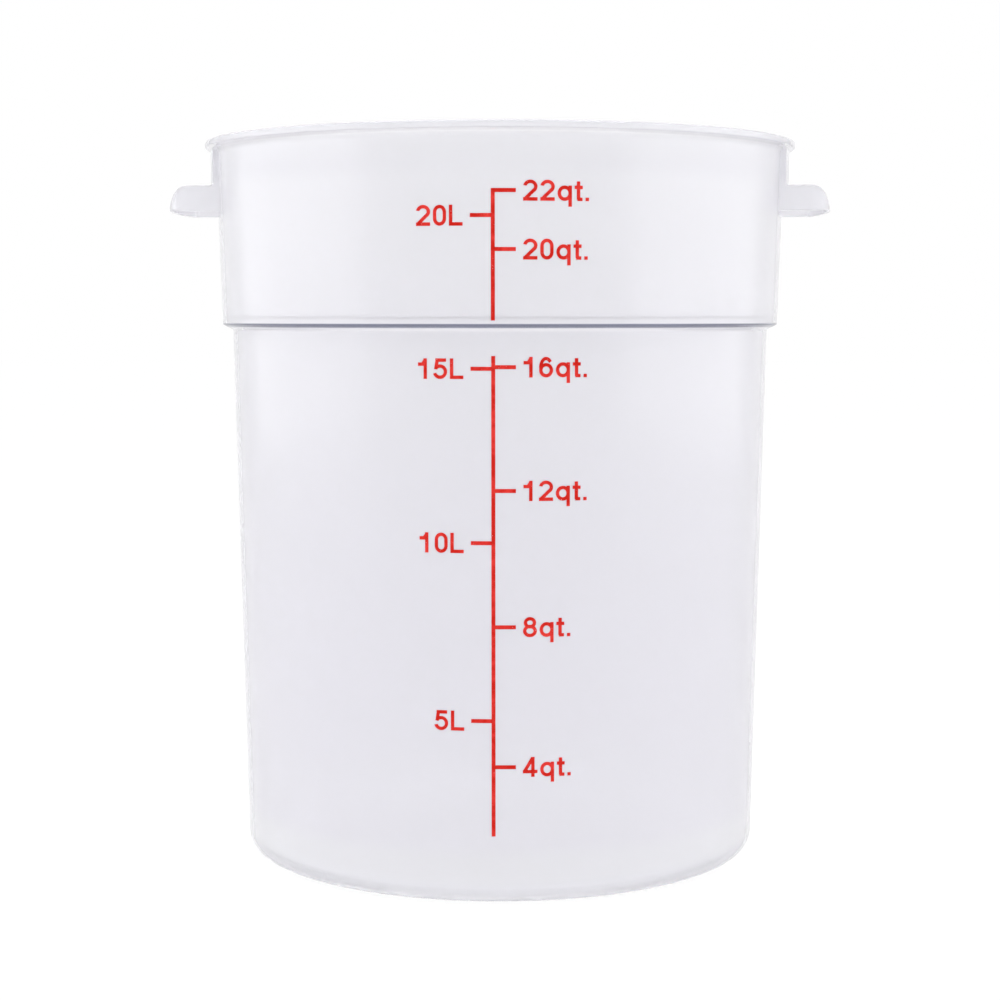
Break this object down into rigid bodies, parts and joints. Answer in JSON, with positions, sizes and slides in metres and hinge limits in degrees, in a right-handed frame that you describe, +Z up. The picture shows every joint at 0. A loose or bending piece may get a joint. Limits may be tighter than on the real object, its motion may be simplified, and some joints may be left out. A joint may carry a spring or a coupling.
{
  "type": "dough proofing container",
  "caption": "Round clear plastic food tub with a stacking ledge, a lid rim, two side lugs to lift it by and a red capacity scale printed on its front.",
  "frame": {"origin": "middle of the foot ring, on the table", "axes": "+Z up through the mouth; the printed scale faces -Y; the two lugs point along -X and +X"},
  "size_m": [0.35, 0.3126, 0.378],
  "materials": {
    "clear_plastic": "clear moulded polycarbonate, faintly lavender, lightly frosted by moulding",
    "red_ink": "opaque screen-printed red ink, satin"
  },
  "bodies": {
    "root": {"container": "clear_plastic", "scale_line_upper": "red_ink", "scale_line_lower": "red_ink", "figures_20_litres": "red_ink", "figures_15_litres": "red_ink", "figures_10_litres": "red_ink", "figures_5_litres": "red_ink", "figures_22_quarts": "red_ink", "figures_20_quarts": "red_ink", "figures_16_quarts": "red_ink", "figures_12_quarts": "red_ink", "figures_8_quarts": "red_ink", "figures_4_quarts": "red_ink"}
  },
  "joints": []
}
